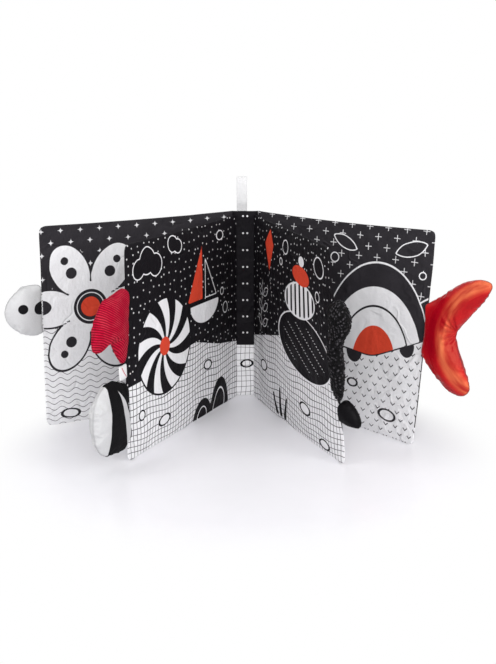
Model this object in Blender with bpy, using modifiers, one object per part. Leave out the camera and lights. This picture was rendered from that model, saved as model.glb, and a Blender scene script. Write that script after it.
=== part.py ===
"""A crinkle cloth book for babies: padded cloth covers and leaves with stuffed tails sewn in their edges.

Metres, +Z up. The book stands open on its bottom edges. The origin is the foot of the gutter panel, the
front of the book faces -Y, and the covers open to -X and +X. Every page is drawn in its own frame: u runs
out from the fold, w is through the page and positive on the side that closes, and z is up.
"""

import math
from collections import namedtuple

import bmesh
import bpy
from mathutils import Matrix, Vector

# Pages
PAGE_WIDTH = 0.180
COVER_HEIGHT = 0.175
LEAF_HEIGHT = 0.172
CLOTH = 0.0006
CROWN = 0.0019
CROWN_RUN = 0.024
SEAM_MARGIN = 0.0025
CORNER_RADIUS = 0.006
DRAW_IN = 0.0012
FILM = 0.0003
PADDING_INSET = 0.010
PADDING_EDGE = 0.00045
SEWING_GAP = 0.0003

# Spine and folds
GUTTER_WIDTH = 0.017
SPINE_WIDTH = 0.024
SPINE_DEPTH = 0.003
SPINE_CROWN = 0.0012
SPINE_PAD_INSET = 0.0015
FOLD_RADIUS = 0.0009
FOLD_GAP = 0.0003
STRIP_WIDTH = 0.012
STRIP_THICKNESS = 0.0012

# Tails
TAIL_GAP = 0.0008
STUFFING_GAP = 0.0008

# Label and ribbon loop
LABEL_LENGTH = 0.0075
LABEL_HEIGHT = 0.0110
LABEL_THICKNESS = 0.0010
LABEL_FOOT = 0.0696
RIBBON_WIDTH = 0.0094
RIBBON_HEIGHT = 0.031
RIBBON_EYE = 0.0031
RIBBON_THICKNESS = 0.0005
RIBBON_LIFT = 0.0007
RIBBON_OFFSET = 0.0029

# Turns of the pages from flat open, and how far each page's top corner swings past its mean turn
COVER_TURN_LEFT = math.radians(29.4)
LEAF_TURN_LEFT = math.radians(63.0)
LEAF_TURN_RIGHT = math.radians(70.1)
COVER_TURN_RIGHT = math.radians(42.8)
COVER_SWING_LEFT = 0.0053
LEAF_SWING_LEFT = 0.0020
LEAF_SWING_RIGHT = 0.0086
COVER_SWING_RIGHT = -0.0094

# How finely the forms are drawn
MIDDLE_SPANS = 3
PAD_SPANS = 3
OUTLINE_SPANS = 2
TAIL_RINGS = 4
FOLD_SIDES = 16

Page = namedtuple("Page", "name side turn height swing")
LEFT_COVER = Page("left_cover", 1, COVER_TURN_LEFT, COVER_HEIGHT, COVER_SWING_LEFT)
LEFT_LEAF = Page("left_leaf", 1, LEAF_TURN_LEFT, LEAF_HEIGHT, LEAF_SWING_LEFT)
RIGHT_LEAF = Page("right_leaf", -1, LEAF_TURN_RIGHT, LEAF_HEIGHT, LEAF_SWING_RIGHT)
RIGHT_COVER = Page("right_cover", -1, COVER_TURN_RIGHT, COVER_HEIGHT, COVER_SWING_RIGHT)

# A tail's outline is in shares of its length, out from the page's edge, and of its height, up from its foot.
# The centre is where its stuffing is thickest, and girth gives shares of its thickness from foot to top.
Tail = namedtuple("Tail", "name length height thickness foot turn centre_share girth_shares outline_shares")
WHITE_LOBE = Tail(
    "white_lobe",
    length=0.0300,
    height=0.0440,
    thickness=0.0155,
    foot=0.0830,
    turn=0,
    centre_share=(0.42, 0.50),
    girth_shares=(1, 1),
    outline_shares=(
        (0, 0.06), (0, 0.50), (0, 0.94), (0.27, 1), (0.62, 0.91), (0.89, 0.73),
        (1, 0.52), (0.93, 0.32), (0.70, 0.14), (0.32, 0.01),
    ),
)
RED_TAIL = Tail(
    "red_tail",
    length=0.0405,
    height=0.0580,
    thickness=0.0165,
    foot=0.0815,
    turn=0,
    centre_share=(0.45, 0.62),
    girth_shares=(0.8, 1, 1),
    outline_shares=(
        (0, 0.08), (0, 0.50), (0, 0.96), (0.14, 1), (0.34, 0.93), (0.66, 0.95), (0.86, 0.80),
        (0.97, 0.52), (0.97, 0.36), (0.74, 0.29), (0.42, 0.35), (0.30, 0.20), (0.12, 0.01),
    ),
)
STRIPED_LOBE = Tail(
    "striped_lobe",
    length=0.0420,
    height=0.0600,
    thickness=0.0165,
    foot=0.0120,
    turn=0,
    centre_share=(0.50, 0.50),
    girth_shares=(1, 1),
    outline_shares=(
        (0, 0.14), (0, 0.50), (0, 0.84), (0.24, 0.96), (0.50, 1), (0.78, 0.93), (0.94, 0.78),
        (1, 0.55), (0.96, 0.32), (0.82, 0.13), (0.54, 0.03), (0.22, 0.03),
    ),
)
BLACK_TAIL = Tail(
    "black_tail",
    length=0.0255,
    height=0.0790,
    thickness=0.0190,
    foot=0.0570,
    turn=math.radians(6),
    centre_share=(0.34, 0.52),
    girth_shares=(0.45, 0.60, 0.66, 0.66, 0.58, 0.54, 0.84, 1, 1),
    outline_shares=(
        (0, 0.07), (0, 0.48), (0, 0.90), (0.30, 0.99), (0.66, 0.99), (1, 0.88), (0.88, 0.74),
        (0.56, 0.56), (0.58, 0.42), (0.66, 0.26), (0.58, 0.08), (0.36, 0), (0.12, 0.01),
    ),
)
BLACK_FLUKE = Tail(
    "black_fluke",
    length=0.0180,
    height=0.0210,
    thickness=0.0120,
    foot=0.0345,
    turn=math.radians(-22),
    centre_share=(0.45, 0.46),
    girth_shares=(1, 1),
    outline_shares=(
        (0, 0.22), (0, 0.62), (0.10, 0.96), (0.34, 1), (0.64, 0.80), (0.90, 0.47), (1, 0.20),
        (0.92, 0.03), (0.58, 0), (0.22, 0.03),
    ),
)
CRESCENT_TAIL = Tail(
    "crescent_tail",
    length=0.0530,
    height=0.0930,
    thickness=0.0180,
    foot=0.0500,
    turn=0,
    centre_share=(0.30, 0.50),
    girth_shares=(1, 1),
    outline_shares=(
        (0, 0.30), (0, 0.51), (0, 0.72), (0.20, 0.82), (0.50, 0.95), (0.82, 1), (0.98, 0.96), (0.88, 0.83),
        (0.67, 0.67), (0.50, 0.53), (0.53, 0.41), (0.69, 0.23), (0.81, 0.09), (0.74, 0.01), (0.55, 0),
        (0.30, 0.08), (0.12, 0.19),
    ),
)

# The ribbon's half-opening up one side, in shares of its eye and of its height
RIBBON_SHARES = ((0.14, 0), (0.42, 0.11), (0.86, 0.25), (1, 0.42), (1, 0.58), (0.88, 0.75), (0.56, 0.92), (0, 1))

BLACK_PRINT = ("black_print", (0.030, 0.028, 0.034), 0.62)
OUTER_CLOTH = ("outer_cloth", (0.045, 0.042, 0.050), 0.65)
WADDING = ("wadding", (0.90, 0.90, 0.88), 0.95)
CRINKLE_FILM = ("crinkle_film", (0.72, 0.76, 0.80), 0.25)
STUFFING = ("stuffing", (0.92, 0.92, 0.90), 0.95)
WHITE_PLUSH = ("white_plush", (0.84, 0.84, 0.85), 0.85)
RED_CORDUROY = ("red_corduroy", (0.62, 0.02, 0.05), 0.80)
STRIPED_CLOTH = ("striped_cloth", (0.55, 0.55, 0.57), 0.75)
BLACK_KNIT = ("black_knit", (0.022, 0.020, 0.024), 0.70)
BLACK_SATIN = ("black_satin", (0.018, 0.016, 0.020), 0.45)
RED_SATIN = ("red_satin", (0.60, 0.03, 0.03), 0.32)
WHITE_TAPE = ("white_tape", (0.85, 0.85, 0.86), 0.55)


def clear_scene():
    for obj in list(bpy.data.objects):
        bpy.data.objects.remove(obj, do_unlink=True)


def book_collection():
    parts = bpy.data.collections.new("crinkle_cloth_book")
    bpy.context.scene.collection.children.link(parts)
    return parts


def finish(looks):
    """The material of a (name, colour, roughness) finish, made once."""
    name, colour, roughness = looks
    found = bpy.data.materials.get(name)
    if found:
        return found
    made = bpy.data.materials.new(name)
    made.use_nodes = True
    shader = made.node_tree.nodes["Principled BSDF"]
    shader.inputs["Base Color"].default_value = (*colour, 1)
    shader.inputs["Roughness"].default_value = roughness
    shader.inputs["Metallic"].default_value = 0
    return made


def joint_empty(parts, name, parent, matrix):
    """An empty on a joint's axis, placed in its parent's frame."""
    empty = bpy.data.objects.new(name, None)
    empty.empty_display_size = CORNER_RADIUS
    empty.parent = parent
    empty.matrix_local = matrix
    parts.objects.link(empty)
    return empty


def add_mesh(parts, name, parent, bm, looks):
    """A named object from a bmesh, smooth where it is round, in its parent's frame."""
    mesh = bpy.data.meshes.new(name)
    bm.to_mesh(mesh)
    bm.free()
    mesh.shade_smooth()
    mesh.set_sharp_from_angle(angle=math.radians(40))
    mesh.materials.append(finish(looks))
    obj = bpy.data.objects.new(name, mesh)
    obj.parent = parent
    parts.objects.link(obj)
    return obj


def page_stations(length):
    """Grid lines across a page cloth: the seam margins, the corner arcs, the crown's run and the middle."""
    near = [0, SEAM_MARGIN, CORNER_RADIUS, CROWN_RUN]
    flat = length - 2 * CROWN_RUN
    middle = [CROWN_RUN + flat * i / MIDDLE_SPANS for i in range(1, MIDDLE_SPANS)]
    return near + middle + [length - d for d in reversed(near)]


def pad_stations(length):
    """Grid lines across the padding, which ends short of the seams."""
    flat = length - 2 * CROWN_RUN
    middle = [CROWN_RUN + flat * i / PAD_SPANS for i in range(PAD_SPANS + 1)]
    return [PADDING_INSET] + middle + [length - PADDING_INSET]


def face_outward(bm):
    """Turns the faces of a closed bmesh outward."""
    bm.normal_update()
    bmesh.ops.recalc_face_normals(bm, faces=bm.faces[:])
    if bm.calc_volume(signed=True) < 0:
        bmesh.ops.reverse_faces(bm, faces=bm.faces[:])


def sheet(us, zs, low, high):
    """A closed sheet over the grid of stations us and zs, from low(u, z) to high(u, z) in w."""
    bm = bmesh.new()
    bmesh.ops.create_grid(bm, x_segments=len(us) - 1, y_segments=len(zs) - 1, size=1)
    lower = list(bm.verts)
    made = bmesh.ops.extrude_face_region(bm, geom=bm.faces[:])
    upper = [item for item in made["geom"] if isinstance(item, bmesh.types.BMVert)]
    for verts, height in ((lower, low), (upper, high)):
        for vert in verts:
            u = us[round((vert.co.x + 1) / 2 * (len(us) - 1))]
            z = zs[round((vert.co.y + 1) / 2 * (len(zs) - 1))]
            vert.co = (u, height(u, z), z)
    return bm


def rise(distance):
    """How much of the crown a page has reached at this distance from its seam."""
    share = (distance - SEAM_MARGIN) / (CROWN_RUN - SEAM_MARGIN)
    return 1 - (1 - min(max(share, 0), 1)) ** 2


def cavity(page, start, u, z):
    """Half the space between a page's two cloths, which begin at start."""
    edge = min(u - start, PAGE_WIDTH - u, z, page.height - z)
    return SEWING_GAP / 2 + CROWN * rise(edge)


def padding(page, start, u, z):
    """Half the thickness of what fills a page: thin at its edge and a sewing gap short of the cloths inside."""
    run = CROWN_RUN - PADDING_INSET
    across = min(max(min(u - start, PAGE_WIDTH - u) - PADDING_INSET, 0) / run, 1)
    up = min(max(min(z, page.height - z) - PADDING_INSET, 0) / run, 1)
    full = CROWN - SEWING_GAP / 2
    return PADDING_EDGE + (full - PADDING_EDGE) * across * up


def swing_at(page, u, z):
    """How far the page has swung out of its plane: its top one way and its foot the other."""
    return page.swing * (u / PAGE_WIDTH) ** 2 * (2 * z / page.height - 1)


def shape_page(bm, page, first):
    """Gives a flat page its swing, round outer corners and drawn-in top, in a frame that begins at first."""
    for vert in bm.verts:
        u, w, z = vert.co
        w += swing_at(page, u, z)
        across = 1 - (PAGE_WIDTH - u) / CORNER_RADIUS
        up = 1 - min(z, page.height - z) / CORNER_RADIUS
        if across > 0 and up > 0:
            u = PAGE_WIDTH - CORNER_RADIUS * (1 - across * math.sqrt(1 - up**2 / 2))
            rounded = CORNER_RADIUS * (1 - up * math.sqrt(1 - across**2 / 2))
            z = rounded if z < page.height / 2 else page.height - rounded
        along = u / PAGE_WIDTH
        z -= DRAW_IN * (z / page.height) * 4 * along * (1 - along)
        vert.co = (u - first, page.side * w, z)
    face_outward(bm)


def page_turn(page):
    """The turn of a page's frame at rest, whose X then runs out along the page."""
    return Matrix.Rotation(math.pi + page.turn if page.side > 0 else -page.turn, 4, "Z")


def build_page(parts, page, frame, first):
    """The two cloths of a page, its wadding and its crinkle film; first is how far out its frame is."""
    start = first + FOLD_RADIUS + FOLD_GAP
    width = PAGE_WIDTH - start
    cloth_grid = [start + u for u in page_stations(width)], page_stations(page.height)
    pad_grid = [start + u for u in pad_stations(width)], pad_stations(page.height)
    outer_looks = BLACK_PRINT if page.height == LEAF_HEIGHT else OUTER_CLOTH

    def room(u, z):
        return cavity(page, start, u, z)

    def filled(u, z):
        return padding(page, start, u, z)

    layers = (
        ("inner_cloth", cloth_grid, room, lambda u, z: room(u, z) + CLOTH, BLACK_PRINT),
        ("outer_cloth", cloth_grid, lambda u, z: -room(u, z) - CLOTH, lambda u, z: -room(u, z), outer_looks),
        ("wadding", pad_grid, lambda u, z: FILM + SEWING_GAP - filled(u, z), filled, WADDING),
        ("crinkle_film", pad_grid, lambda u, z: -filled(u, z), lambda u, z: FILM - filled(u, z), CRINKLE_FILM),
    )
    for name, (us, zs), low, high, looks in layers:
        bm = sheet(us, zs, low, high)
        shape_page(bm, page, first)
        add_mesh(parts, f"{page.name}_{name}", frame, bm, looks)


def build_spine(parts, frame):
    """The gutter panel in front, the outer spine cloth behind, and the wadding between them."""
    edge = FOLD_RADIUS + FOLD_GAP
    heights = [0, COVER_HEIGHT / 2, COVER_HEIGHT]

    def strip_of(width, spans):
        return [width * (i / spans - 1 / 2) for i in range(spans + 1)]

    gutter = strip_of(GUTTER_WIDTH - 2 * edge, 2)
    bm = sheet(gutter, heights, lambda u, z: -CLOTH / 2, lambda u, z: CLOTH / 2)
    face_outward(bm)
    add_mesh(parts, "gutter_panel", frame, bm, BLACK_PRINT)

    outer_width = SPINE_WIDTH - 2 * edge
    outer = strip_of(outer_width, 6)

    def bulge(u):
        return SPINE_DEPTH + SPINE_CROWN * (1 - (2 * u / outer_width) ** 2)

    bm = sheet(outer, heights, lambda u, z: bulge(u) - CLOTH / 2, lambda u, z: bulge(u) + CLOTH / 2)
    face_outward(bm)
    add_mesh(parts, "spine_outer_cloth", frame, bm, OUTER_CLOTH)

    pad = strip_of(GUTTER_WIDTH - 2 * edge - 2 * SPINE_PAD_INSET, 4)
    padded = [SPINE_PAD_INSET, COVER_HEIGHT / 2, COVER_HEIGHT - SPINE_PAD_INSET]
    clear = CLOTH / 2 + SEWING_GAP
    bm = sheet(pad, padded, lambda u, z: clear, lambda u, z: bulge(u) - clear)
    face_outward(bm)
    add_mesh(parts, "spine_wadding", frame, bm, WADDING)


def build_cover_fold(parts, page, frame):
    """The rounded fold of cloth on the line where a cover turns."""
    bm = bmesh.new()
    bmesh.ops.create_cone(
        bm,
        cap_ends=True,
        segments=FOLD_SIDES,
        radius1=FOLD_RADIUS,
        radius2=FOLD_RADIUS,
        depth=page.height,
        matrix=Matrix.Translation((0, 0, page.height / 2)),
    )
    add_mesh(parts, f"{page.name}_fold", frame, bm, OUTER_CLOTH)


def build_binding_strip(parts, page, frame):
    """The unpadded strip that carries a leaf: two plies of cloth between two rounded folds."""
    opening = math.asin(STRIP_THICKNESS / 2 / FOLD_RADIUS)
    arc = [opening + (2 * math.pi - 2 * opening) * i / (FOLD_SIDES / 2) for i in range(FOLD_SIDES // 2 + 1)]
    near = [(FOLD_RADIUS * math.cos(a), FOLD_RADIUS * math.sin(a)) for a in arc]
    far = [(STRIP_WIDTH - x, -y) for x, y in near]
    curve = bpy.data.curves.new(f"{page.name}_binding_strip", "CURVE")
    curve.dimensions = "2D"
    curve.fill_mode = "BOTH"
    curve.extrude = page.height / 2
    spline = curve.splines.new("POLY")
    spline.points.add(len(near + far) - 1)
    for point, (x, y) in zip(spline.points, near + far):
        point.co = (x, y, 0, 1)
    spline.use_cyclic_u = True
    curve.materials.append(finish(BLACK_PRINT))
    strip = bpy.data.objects.new(f"{page.name}_binding_strip", curve)
    strip.parent = frame
    strip.location.z = page.height / 2
    parts.objects.link(strip)


def smooth_loop(points, splits):
    """Points along the closed Catmull-Rom curve through the given ones."""
    count = len(points)
    out = []
    for i in range(count):
        a, b, c, d = (Vector(points[(i + k) % count]) for k in (-1, 0, 1, 2))
        for j in range(splits):
            t = j / splits
            bend = (2 * a - 5 * b + 4 * c - d) * t**2 + (3 * b - a - 3 * c + d) * t**3
            out.append(b + ((c - a) * t + bend) / 2)
    return out


def tail_outline(tail, slack):
    """The tail's outline, slack inside its seam, and its centre: x out from the page's edge, z up from its foot."""
    loop = smooth_loop(tail.outline_shares, OUTLINE_SPANS)
    seam = [Vector((max(p.x, 0) * tail.length, p.y * tail.height)) for p in loop]
    outline = []
    for i, point in enumerate(seam):
        along = (seam[(i + 1) % len(seam)] - seam[i - 1]).normalized()
        outline.append(point + slack * Vector((along.y, -along.x)))
    centre = Vector((tail.centre_share[0] * tail.length, tail.centre_share[1] * tail.height))
    return outline, centre


def girth_at(tail, z):
    """The tail's half-thickness at height z above its foot."""
    spans = len(tail.girth_shares) - 1
    place = min(max(z / tail.height, 0), 1) * spans
    i = min(int(place), spans - 1)
    share = tail.girth_shares[i] + (tail.girth_shares[i + 1] - tail.girth_shares[i]) * (place - i)
    return tail.thickness / 2 * share


def puffed(tail, rings, part, slack):
    """A sphere drawn out to the tail's outline: all of it (0), its closing side (1) or its other side (-1).

    slack is how far it keeps inside the outline, and inside the thickness.
    """
    outline, centre = tail_outline(tail, slack)
    count = len(outline)
    bm = bmesh.new()
    bmesh.ops.create_uvsphere(bm, u_segments=count, v_segments=2 * rings, radius=1)
    if part:
        other = [v for v in bm.verts if v.co.z * part < -0.5 / rings]
        bmesh.ops.delete(bm, geom=other, context="VERTS")
    for vert in bm.verts:
        i = round(math.atan2(vert.co.y, vert.co.x) / math.tau * count) % count
        place = centre + (outline[i] - centre) * math.hypot(vert.co.x, vert.co.y)
        half = girth_at(tail, place.y) - slack
        vert.co = (place.x, part * SEWING_GAP / 2 + vert.co.z * half, place.y)
    bmesh.ops.triangulate(bm, faces=bm.faces[:], quad_method="FIXED")
    return bm


def edge_frame(parts, page, tail, parent, first):
    """The empty of a tail on its page's outer edge, at the tail's foot and leaning as the edge does."""
    lean = math.atan(2 * page.swing / page.height)
    foot = Vector((PAGE_WIDTH - first, page.side * swing_at(page, PAGE_WIDTH, tail.foot), tail.foot))
    matrix = Matrix.Translation(foot) @ Matrix.Rotation(-page.side * lean, 4, "X")
    return joint_empty(parts, f"{tail.name}_joint", parent, matrix)


def build_tail(parts, page, tail, frame, looks):
    """The two cloth halves of a stuffed tail, and its stuffing."""
    turned = Matrix.Rotation(page.side * tail.turn, 4, "Z")
    place = turned @ Matrix.Translation((TAIL_GAP + CLOTH, 0, 0))
    for part, side, look in ((1, "inner", looks[0]), (-1, "outer", looks[1])):
        bm = puffed(tail, TAIL_RINGS, part, 0)
        outward = Vector((0, part, 0))
        crown = max(bm.faces, key=lambda f: abs(f.calc_center_median().y))
        crown.normal_update()
        if crown.normal.dot(outward) < 0:
            bmesh.ops.reverse_faces(bm, faces=bm.faces[:])
        mirror_to(bm, page.side)
        bm.transform(place)
        shell = add_mesh(parts, f"{tail.name}_{side}_cloth", frame, bm, look)
        skin = shell.modifiers.new("Cloth", "SOLIDIFY")
        skin.thickness = CLOTH
        skin.offset = 1
    bm = puffed(tail, TAIL_RINGS, 0, STUFFING_GAP)
    mirror_to(bm, page.side)
    bm.transform(place)
    face_outward(bm)
    add_mesh(parts, f"{tail.name}_stuffing", frame, bm, STUFFING)


def mirror_to(bm, side):
    """Turns the closing side of a tail to its page's closing side."""
    if side > 0:
        return
    for vert in bm.verts:
        vert.co.y = -vert.co.y
    bmesh.ops.reverse_faces(bm, faces=bm.faces[:])


def build_label(parts, page, frame, first):
    """A blank folded label sewn into the page's edge."""
    start = TAIL_GAP
    turned = [math.pi / 2 - math.pi * i / 6 for i in range(7)]
    half = LABEL_THICKNESS / 2
    bend = [(start + LABEL_LENGTH - half + half * math.cos(a), half * math.sin(a)) for a in turned]
    curve = bpy.data.curves.new("label", "CURVE")
    curve.dimensions = "2D"
    curve.fill_mode = "BOTH"
    curve.extrude = LABEL_HEIGHT / 2
    spline = curve.splines.new("POLY")
    points = [(start, half)] + bend + [(start, -half)]
    spline.points.add(len(points) - 1)
    for point, (x, y) in zip(spline.points, points):
        point.co = (x, y, 0, 1)
    spline.use_cyclic_u = True
    curve.materials.append(finish(WHITE_TAPE))
    label = bpy.data.objects.new("label", curve)
    label.parent = frame
    label.location.z = LABEL_HEIGHT / 2
    parts.objects.link(label)


def label_frame(parts, page, parent, first):
    middle = LABEL_FOOT + LABEL_HEIGHT / 2
    place = (PAGE_WIDTH - first, page.side * swing_at(page, PAGE_WIDTH, middle), LABEL_FOOT)
    return joint_empty(parts, "label_joint", parent, Matrix.Translation(place))


def build_ribbon(parts, frame):
    """The hanging loop: one ribbon folded over at the top, its two ends together at the spine."""
    half = [(RIBBON_EYE * share, RIBBON_HEIGHT * up) for share, up in RIBBON_SHARES]
    path = half + [(-y, z) for y, z in reversed(half[:-1])]
    bm = bmesh.new()
    rows = []
    for y, z in path:
        rows.append([bm.verts.new((x, y, z)) for x in (-RIBBON_WIDTH / 2, RIBBON_WIDTH / 2)])
    for (a, b), (c, d) in zip(rows, rows[1:]):
        bm.faces.new((a, b, d, c))
    ribbon = add_mesh(parts, "ribbon_loop", frame, bm, WHITE_TAPE)
    skin = ribbon.modifiers.new("Ribbon", "SOLIDIFY")
    skin.thickness = RIBBON_THICKNESS
    skin.offset = 0


def main():
    clear_scene()
    parts = book_collection()
    spine = joint_empty(parts, "spine_frame", None, Matrix.Identity(4))
    build_spine(parts, spine)

    frames = {}
    for page in (LEFT_COVER, RIGHT_COVER):
        corner = Matrix.Translation((-page.side * SPINE_WIDTH / 2, SPINE_DEPTH, 0))
        frames[page.name] = joint_empty(parts, f"{page.name}_joint", spine, corner @ page_turn(page))
        build_cover_fold(parts, page, frames[page.name])
        build_page(parts, page, frames[page.name], 0)
    for page in (LEFT_LEAF, RIGHT_LEAF):
        corner = Matrix.Translation((-page.side * GUTTER_WIDTH / 2, 0, 0))
        strip = joint_empty(parts, f"{page.name}_strip_joint", spine, corner @ page_turn(page))
        build_binding_strip(parts, page, strip)
        outward = Matrix.Translation((STRIP_WIDTH, 0, 0))
        frames[page.name] = joint_empty(parts, f"{page.name}_joint", strip, outward)
        build_page(parts, page, frames[page.name], STRIP_WIDTH)

    black = (BLACK_KNIT, BLACK_SATIN)
    sewn = (
        (LEFT_COVER, WHITE_LOBE, 0, (WHITE_PLUSH, WHITE_PLUSH)),
        (LEFT_LEAF, RED_TAIL, STRIP_WIDTH, (RED_CORDUROY, RED_CORDUROY)),
        (LEFT_LEAF, STRIPED_LOBE, STRIP_WIDTH, (STRIPED_CLOTH, STRIPED_CLOTH)),
        (RIGHT_LEAF, BLACK_TAIL, STRIP_WIDTH, black),
        (RIGHT_COVER, CRESCENT_TAIL, 0, (RED_SATIN, RED_SATIN)),
    )
    for page, tail, first, looks in sewn:
        frame = edge_frame(parts, page, tail, frames[page.name], first)
        build_tail(parts, page, tail, frame, looks)
        if tail is BLACK_TAIL:
            lowered = Matrix.Translation((0, 0, BLACK_FLUKE.foot - BLACK_TAIL.foot))
            fluke = joint_empty(parts, "black_fluke_place", frame, lowered)
            build_tail(parts, page, BLACK_FLUKE, fluke, (BLACK_SATIN, BLACK_SATIN))

    label = label_frame(parts, LEFT_LEAF, frames[LEFT_LEAF.name], STRIP_WIDTH)
    build_label(parts, LEFT_LEAF, label, STRIP_WIDTH)

    seat = SPINE_DEPTH - CLOTH / 2 - RIBBON_EYE * RIBBON_SHARES[0][0] - RIBBON_THICKNESS / 2
    above = Matrix.Translation((-RIBBON_OFFSET, seat, COVER_HEIGHT + RIBBON_LIFT))
    build_ribbon(parts, joint_empty(parts, "ribbon_loop_joint", spine, above))


main()
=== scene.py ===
"""The visual model of the crinkle cloth book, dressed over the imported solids.

Metres and +Z up, as the solids. A page is drawn flat first: u runs out from its fold, w is through it and
positive on the side that closes, z is up. Prints are laid out in millimetres of that flat page, so every motif is a
distance field kept on the page's points, and the fine repeating patterns are worked out in its material.
"""

import math
from collections import namedtuple

import bmesh
import bpy
import numpy as np
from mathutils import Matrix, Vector, noise
from mathutils.geometry import delaunay_2d_cdt


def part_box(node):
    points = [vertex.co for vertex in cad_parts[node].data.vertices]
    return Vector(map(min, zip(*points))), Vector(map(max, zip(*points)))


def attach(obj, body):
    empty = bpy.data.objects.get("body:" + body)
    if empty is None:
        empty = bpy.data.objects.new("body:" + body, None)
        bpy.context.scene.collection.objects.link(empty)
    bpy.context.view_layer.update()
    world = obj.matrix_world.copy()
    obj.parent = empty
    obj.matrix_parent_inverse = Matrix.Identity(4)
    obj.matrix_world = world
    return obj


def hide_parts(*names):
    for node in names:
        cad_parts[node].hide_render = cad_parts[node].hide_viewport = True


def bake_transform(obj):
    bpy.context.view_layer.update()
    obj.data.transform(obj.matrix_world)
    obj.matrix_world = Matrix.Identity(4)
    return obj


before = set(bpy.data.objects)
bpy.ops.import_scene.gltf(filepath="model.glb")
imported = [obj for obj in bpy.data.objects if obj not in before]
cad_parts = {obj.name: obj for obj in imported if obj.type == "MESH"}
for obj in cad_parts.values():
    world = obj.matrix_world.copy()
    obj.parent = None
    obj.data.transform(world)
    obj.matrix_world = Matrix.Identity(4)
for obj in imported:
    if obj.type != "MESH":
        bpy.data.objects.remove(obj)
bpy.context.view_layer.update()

# Pages, in metres
PAGE_WIDTH = 0.180
COVER_HEIGHT = 0.175
LEAF_HEIGHT = 0.172
CLOTH = 0.0006
CROWN = 0.0019
CROWN_RUN = 0.024
SEAM_MARGIN = 0.0025
CORNER_RADIUS = 0.006
DRAW_IN = 0.0012
SEWING_GAP = 0.0003
STRIP_WIDTH = 0.012
PAD_START = 0.0132
BEAD = 0.0009
ROUNDING = 0.0012
END_STEP = 0.0006
PAGE_STEP = 0.0031
SEWN_RIM = 0.0022
MOST_MOVED = 0.0014
LEAST_PLUMP = 0.72
FOLD_LINE = (STRIP_WIDTH + PAD_START) / 2
FOLD_HALF, STRIP_HALF = 0.0003, 0.00065
LEAF_SEAM = 0.0104, 0.0138
WAVE_RISE, WAVE_REACH = 0.0009, 0.010

# Spine: the step of its grid, and half its width in front, behind and at its rim
SPINE_STEP = 0.004
SPINE_FRONT, SPINE_BACK, SPINE_RIM = 0.0098, 0.0118, 0.0126

# Tails
TAIL_OUT, TAIL_TUCK, TUCK_REACH = 0.0014, 0.0020, 0.005
TAIL_STEP = 0.0017
TAIL_LIFT = 0.28
SEWN_ROOT = 0.0004
SWELL_REACH = 0.016
CRESCENT_NOTCH = 0.0270, 0.0495
SEAM_REACH = 0.0002, 0.004
KNOB_PITCH = 0.0021
KNOB_RISE = 0.0009
BARE_STRIP = 0.0045

# Ribbon, label and thread
RIBBON_THICKNESS = 0.00045
LABEL_FOOT, LABEL_HEIGHT, LABEL_DEPTH = 0.0696, 0.0110, 0.0078
LABEL_BEND = 0.0005
LABEL_THICKNESS = 0.0003
THREAD_RADIUS = 0.00022

# A page runs from its root along its heading; swing is how far its outer edge leans, forward above and back below.
Page = namedtuple("Page", "name root heading side height swing seed")
PAGES = {page.name: page for page in (
    Page("left_cover", (-0.012, 0.003), (-0.871214, -0.490904), 1, COVER_HEIGHT, 0.0053, 3),
    Page("left_leaf", (-0.0085, 0), (-0.453991, -0.891006), 1, LEAF_HEIGHT, 0.0020, 5),
    Page("right_leaf", (0.0085, 0), (0.34038, -0.940288), -1, LEAF_HEIGHT, 0.0086, 7),
    Page("right_cover", (0.012, 0.003), (0.73373, -0.679441), -1, COVER_HEIGHT, -0.0094, 11),
)}

# Printed cloth: the weave's pitch in millimetres, then how high the weave, creases and ironed creases stand
WEAVE_PITCH = 0.36
WEAVE_RISE, CREASE_RISE, IRONED_RISE = 0.000035, 0.0022, 0.00045

# Colours
BLACK = (0.0060, 0.0052, 0.0068, 1)
CHARCOAL = (0.023, 0.021, 0.0245, 1)
WHITE = (0.76, 0.755, 0.78, 1)
PRINT_RED = (0.66, 0.062, 0.030, 1)
PALE_CLOTH = (0.76, 0.755, 0.775, 1), (0.84, 0.835, 0.85, 1)
WHITE_MARK = (0.70, 0.695, 0.71, 1)
BLACK_LINE = (0.035, 0.033, 0.038, 1)
SPOT_BLACK = (0.006, 0.0055, 0.007, 1)
BAND_BLACK = (0.003, 0.0027, 0.0034, 1)


# Shader nodes


class Value:
    """What a node gives, so that sums with it add nodes: of numbers, or of vectors where it is one."""

    def __init__(self, nodes, socket):
        self.nodes, self.socket = nodes, socket

    def sum(self, operation, *values):
        plain = self.socket.type == "VALUE"
        return (self.nodes.math if plain else self.nodes.vector)(operation, *values)

    def __add__(self, other):
        return self.sum("ADD", self, other)

    def __radd__(self, other):
        return self.sum("ADD", other, self)

    def __sub__(self, other):
        return self.sum("SUBTRACT", self, other)

    def __rsub__(self, other):
        return self.sum("SUBTRACT", other, self)

    def __mul__(self, other):
        return self.sum("MULTIPLY", self, other)

    def __truediv__(self, other):
        return self.sum("DIVIDE", self, other)

    def __abs__(self):
        return self.sum("ABSOLUTE", self)


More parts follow.
